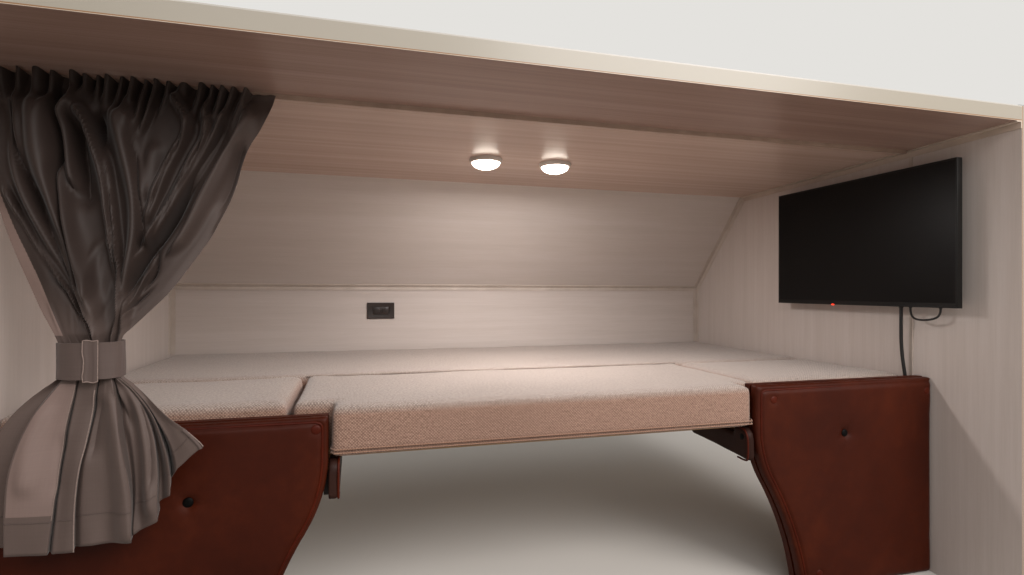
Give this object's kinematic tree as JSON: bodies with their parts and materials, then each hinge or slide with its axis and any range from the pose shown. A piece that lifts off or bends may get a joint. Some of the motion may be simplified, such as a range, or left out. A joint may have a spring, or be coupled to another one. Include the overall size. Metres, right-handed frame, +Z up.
{
  "type": "motorhome over-cab sleeping alcove",
  "caption": "Hollow over-cab nose of a motorhome with a cushioned bunk, padded bulkhead panels, gathered curtain, wall screen and ceiling lights; the centre flap folds forward",
  "frame": {"origin": "middle of the four deck bolts, on the underside of the deck, where the nose sits on the cab roof", "axes": "+X passenger side (right, looking forward), +Y forward, +Z up"},
  "size_m": [2.485, 1.5065, 1.3398],
  "materials": {
    "wall_laminate": "moulded gelcoat outside, linen-textured wallboard inside",
    "cap_aluminium": "extruded, painted satin",
    "deck_ply": "birch plywood, unfinished",
    "bunk_cloth": "oatmeal woven upholstery cloth",
    "saddle_vinyl": "saddle-brown upholstery vinyl, fine grain",
    "dark_backing": "moulded satin",
    "wall_trim": "vinyl-wrapped moulding, satin",
    "ceiling_trim": "extruded satin",
    "light_rim": "pearl chrome, satin",
    "light_lens": "frosted warm white",
    "outlet_brown": "moulded satin",
    "curtain_cloth": "taupe-grey woven blackout cloth",
    "tv_black": "moulded, fine texture",
    "tv_glass": "smooth panel",
    "bracket_steel": "powder-coated",
    "lead_rubber": "extruded satin",
    "amber_lens": "moulded lens"
  },
  "bodies": {
    "root": {"backing_board_left": "deck_ply", "backing_board_right": "deck_ply", "bulkhead_pad_left": "saddle_vinyl", "bulkhead_pad_right": "saddle_vinyl", "cable_boots": "lead_rubber", "ceiling_moulding_left": "ceiling_trim", "ceiling_moulding_right": "ceiling_trim", "cheek_boards": "dark_backing", "cheek_pad_left": "saddle_vinyl", "cheek_pad_right": "saddle_vinyl", "corner_caps": "cap_aluminium", "corner_moulding_left": "wall_trim", "corner_moulding_right": "wall_trim", "covered_buttons": "saddle_vinyl", "curtain": "curtain_cloth", "curtain_track": "ceiling_trim", "cushion_front": "bunk_cloth", "cushion_wing_left": "bunk_cloth", "cushion_wing_right": "bunk_cloth", "dark_buttons": "dark_backing", "deck_front": "deck_ply", "deck_side_left": "deck_ply", "deck_side_right": "deck_ply", "front_wall": "wall_laminate", "hinge_welt": "bunk_cloth", "joint_strip": "wall_trim", "light_lenses": "light_lens", "light_rims": "light_rim", "marker_lamps": "amber_lens", "outlet_device": "outlet_brown", "outlet_plate": "outlet_brown", "roof_front": "wall_laminate", "roof_rear": "wall_laminate", "side_wall_left": "wall_laminate", "side_wall_right": "wall_laminate", "slope_panel": "wall_laminate", "tie_band": "curtain_cloth", "tv_bracket": "bracket_steel", "tv_housing": "tv_black", "tv_lead": "lead_rubber", "tv_loop": "lead_rubber", "tv_screen": "tv_glass", "wall_battens": "wall_trim"},
    "flap": {"flap_board": "deck_ply", "cushion_centre": "bunk_cloth"}
  },
  "joints": [
    {"name": "flap_fold", "type": "hinge", "parent": "root", "child": "flap", "pos_m": [0, -0.05, 0.1552], "axis": [-1, 0, 0], "range_deg": [0, 180]}
  ]
}
